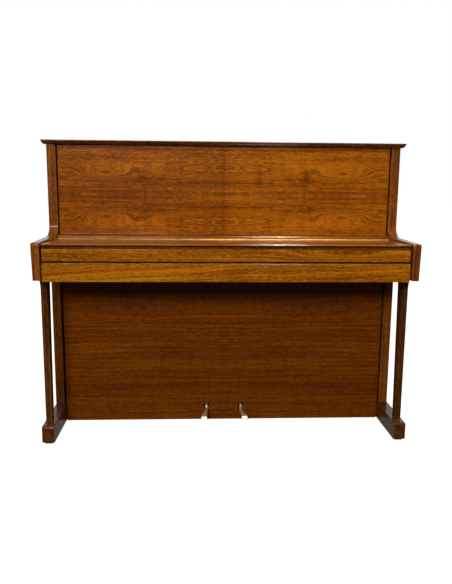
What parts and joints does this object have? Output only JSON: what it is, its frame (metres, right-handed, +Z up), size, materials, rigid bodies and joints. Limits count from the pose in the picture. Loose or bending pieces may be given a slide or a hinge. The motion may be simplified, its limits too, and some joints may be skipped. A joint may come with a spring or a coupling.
{
  "type": "upright piano",
  "caption": "Upright piano with a plain walnut case, fallboard with drop front, slim front legs on toe blocks, soft and sustain pedals, and the keyboard, action, plate and back inside.",
  "frame": {"origin": "centre of the bounding box's bottom face, on the floor", "axes": "+Z up, +X to the player's right, the player's side faces -Y"},
  "size_m": [1.478, 0.6, 1.1903],
  "materials": {
    "case_wood": "satin lacquered walnut, reddish brown",
    "panel_wood": "satin lacquered walnut veneer, orange brown",
    "fall_wood": "glossy lacquered walnut, golden brown",
    "lower_wood": "satin lacquered walnut veneer, dark brown",
    "leg_wood": "satin lacquered walnut, dark brown",
    "foot_pad": "matt black",
    "inner_wood": "plain beech and pine",
    "soundboard_wood": "thin satin varnish on spruce",
    "white_key": "glossy ivory white",
    "black_key": "satin black",
    "felt": "dense wool felt",
    "plate_iron": "bronze painted cast iron",
    "string_steel": "bright drawn wire",
    "hinge_brass": "polished, slightly dulled",
    "pedal_metal": "polished, pale"
  },
  "bodies": {
    "case": {"side_left": "case_wood", "side_right": "case_wood", "arm_left": "case_wood", "arm_right": "case_wood", "lid_rear": "case_wood", "top_door": "panel_wood", "fall_rail": "fall_wood", "name_board": "fall_wood", "key_slip": "fall_wood", "key_block_left": "fall_wood", "key_block_right": "fall_wood", "plinth": "lower_wood", "leg_left": "leg_wood", "leg_right": "leg_wood", "toe_left": "leg_wood", "toe_right": "leg_wood", "toe_pad_left": "foot_pad", "toe_pad_right": "foot_pad", "bottom_board": "inner_wood", "key_bed": "inner_wood", "key_frame": "inner_wood", "back_top_beam": "inner_wood", "back_bottom_beam": "inner_wood", "back_post_left": "inner_wood", "back_post_middle": "inner_wood", "back_post_right": "inner_wood", "pin_block": "inner_wood", "soundboard": "soundboard_wood", "keys_bass": "white_key", "keys_treble": "white_key", "iron_plate": "plate_iron", "action_frame": "plate_iron", "strings": "string_steel", "lid_hinge": "hinge_brass", "fall_hinge": "hinge_brass"},
    "lid_flap": {"lid_flap": "case_wood"},
    "fallboard": {"fall_top": "fall_wood", "fall_front": "fall_wood"},
    "bottom_door": {"bottom_door": "lower_wood"},
    "pedal_left": {"pedal_left": "pedal_metal"},
    "pedal_right": {"pedal_right": "pedal_metal"},
    "trap_lever_left": {"trap_lever_left": "inner_wood"},
    "trap_lever_right": {"trap_lever_right": "inner_wood"},
    "pedal_rod_left": {"pedal_rod_left": "inner_wood"},
    "pedal_rod_right": {"pedal_rod_right": "inner_wood"},
    "hammer_rest": {"hammer_rail": "inner_wood", "hammers": "felt"},
    "damper_lift": {"dampers": "felt"},
    "key_c4": {"key_c4": "white_key"},
    "key_c4_sharp": {"key_c4_sharp": "black_key"},
    "key_d4": {"key_d4": "white_key"},
    "key_d4_sharp": {"key_d4_sharp": "black_key"},
    "key_e4": {"key_e4": "white_key"},
    "key_f4": {"key_f4": "white_key"},
    "key_f4_sharp": {"key_f4_sharp": "black_key"},
    "key_g4": {"key_g4": "white_key"},
    "key_g4_sharp": {"key_g4_sharp": "black_key"},
    "key_a4": {"key_a4": "white_key"},
    "key_a4_sharp": {"key_a4_sharp": "black_key"},
    "key_b4": {"key_b4": "white_key"}
  },
  "joints": [
    {"name": "lid_flap_fold", "type": "hinge", "parent": "case", "child": "lid_flap", "pos_m": [0, 0.1515, 1.1883], "axis": [-1, 0, 0], "range_deg": [0, 178]},
    {"name": "fallboard_open", "type": "hinge", "parent": "case", "child": "fallboard", "pos_m": [0, -0.0135, 0.7926], "axis": [-1, 0, 0], "range_deg": [0, 94]},
    {"name": "bottom_door_tilt", "type": "hinge", "parent": "case", "child": "bottom_door", "pos_m": [0, 0.018, 0.0715], "axis": [1, 0, 0], "range_deg": [0, 20]},
    {"name": "pedal_left_press", "type": "hinge", "parent": "case", "child": "pedal_left", "pos_m": [-0.074, 0.18, 0.068], "axis": [1, 0, 0], "range_deg": [0, 4.5], "stiffness_Nm_per_rad": 40, "springref_deg": -4.58},
    {"name": "pedal_right_press", "type": "hinge", "parent": "case", "child": "pedal_right", "pos_m": [0.074, 0.18, 0.068], "axis": [1, 0, 0], "range_deg": [0, 4.5], "stiffness_Nm_per_rad": 40, "springref_deg": -4.58},
    {"name": "trap_lever_left_rock", "type": "hinge", "parent": "case", "child": "trap_lever_left", "pos_m": [-0.33, 0.1, 0.087], "axis": [0, 1, 0], "range_deg": [0, 1.46]},
    {"name": "pedal_rod_left_rise", "type": "slide", "parent": "case", "child": "pedal_rod_left", "axis": [0, 0, 1], "range_m": [0, 0.0065]},
    {"name": "trap_lever_right_rock", "type": "hinge", "parent": "case", "child": "trap_lever_right", "pos_m": [0.33, 0.1, 0.087], "axis": [0, -1, 0], "range_deg": [0, 1.46]},
    {"name": "pedal_rod_right_rise", "type": "slide", "parent": "case", "child": "pedal_rod_right", "axis": [0, 0, 1], "range_m": [0, 0.0065]},
    {"name": "hammer_rest_swing", "type": "hinge", "parent": "case", "child": "hammer_rest", "pos_m": [0, 0.099, 0.8], "axis": [-1, 0, 0], "range_deg": [0, 5.05]},
    {"name": "damper_lift_swing", "type": "hinge", "parent": "case", "child": "damper_lift", "pos_m": [0, 0.128, 0.8], "axis": [1, 0, 0], "range_deg": [0, 3.05]},
    {"name": "key_c4_press", "type": "hinge", "parent": "case", "child": "key_c4", "pos_m": [0, -0.07, 0.716], "axis": [1, 0, 0], "range_deg": [0, 2.9], "stiffness_Nm_per_rad": 2, "springref_deg": -2.86},
    {"name": "key_c4_sharp_press", "type": "hinge", "parent": "case", "child": "key_c4_sharp", "pos_m": [0, -0.07, 0.716], "axis": [1, 0, 0], "range_deg": [0, 2.9], "stiffness_Nm_per_rad": 2, "springref_deg": -2.86},
    {"name": "key_d4_press", "type": "hinge", "parent": "case", "child": "key_d4", "pos_m": [0, -0.07, 0.716], "axis": [1, 0, 0], "range_deg": [0, 2.9], "stiffness_Nm_per_rad": 2, "springref_deg": -2.86},
    {"name": "key_d4_sharp_press", "type": "hinge", "parent": "case", "child": "key_d4_sharp", "pos_m": [0, -0.07, 0.716], "axis": [1, 0, 0], "range_deg": [0, 2.9], "stiffness_Nm_per_rad": 2, "springref_deg": -2.86},
    {"name": "key_e4_press", "type": "hinge", "parent": "case", "child": "key_e4", "pos_m": [0, -0.07, 0.716], "axis": [1, 0, 0], "range_deg": [0, 2.9], "stiffness_Nm_per_rad": 2, "springref_deg": -2.86},
    {"name": "key_f4_press", "type": "hinge", "parent": "case", "child": "key_f4", "pos_m": [0, -0.07, 0.716], "axis": [1, 0, 0], "range_deg": [0, 2.9], "stiffness_Nm_per_rad": 2, "springref_deg": -2.86},
    {"name": "key_f4_sharp_press", "type": "hinge", "parent": "case", "child": "key_f4_sharp", "pos_m": [0, -0.07, 0.716], "axis": [1, 0, 0], "range_deg": [0, 2.9], "stiffness_Nm_per_rad": 2, "springref_deg": -2.86},
    {"name": "key_g4_press", "type": "hinge", "parent": "case", "child": "key_g4", "pos_m": [0, -0.07, 0.716], "axis": [1, 0, 0], "range_deg": [0, 2.9], "stiffness_Nm_per_rad": 2, "springref_deg": -2.86},
    {"name": "key_g4_sharp_press", "type": "hinge", "parent": "case", "child": "key_g4_sharp", "pos_m": [0, -0.07, 0.716], "axis": [1, 0, 0], "range_deg": [0, 2.9], "stiffness_Nm_per_rad": 2, "springref_deg": -2.86},
    {"name": "key_a4_press", "type": "hinge", "parent": "case", "child": "key_a4", "pos_m": [0, -0.07, 0.716], "axis": [1, 0, 0], "range_deg": [0, 2.9], "stiffness_Nm_per_rad": 2, "springref_deg": -2.86},
    {"name": "key_a4_sharp_press", "type": "hinge", "parent": "case", "child": "key_a4_sharp", "pos_m": [0, -0.07, 0.716], "axis": [1, 0, 0], "range_deg": [0, 2.9], "stiffness_Nm_per_rad": 2, "springref_deg": -2.86},
    {"name": "key_b4_press", "type": "hinge", "parent": "case", "child": "key_b4", "pos_m": [0, -0.07, 0.716], "axis": [1, 0, 0], "range_deg": [0, 2.9], "stiffness_Nm_per_rad": 2, "springref_deg": -2.86}
  ],
  "couplings": [
    {"joint": "trap_lever_left_rock", "follows": "pedal_left_press", "ratio": 0.3125},
    {"joint": "pedal_rod_left_rise", "follows": "pedal_left_press", "m_per_rad": 0.08},
    {"joint": "hammer_rest_swing", "follows": "pedal_left_press", "ratio": 1.1111},
    {"joint": "trap_lever_right_rock", "follows": "pedal_right_press", "ratio": 0.3125},
    {"joint": "pedal_rod_right_rise", "follows": "pedal_right_press", "m_per_rad": 0.08},
    {"joint": "damper_lift_swing", "follows": "pedal_right_press", "ratio": 0.6667}
  ]
}
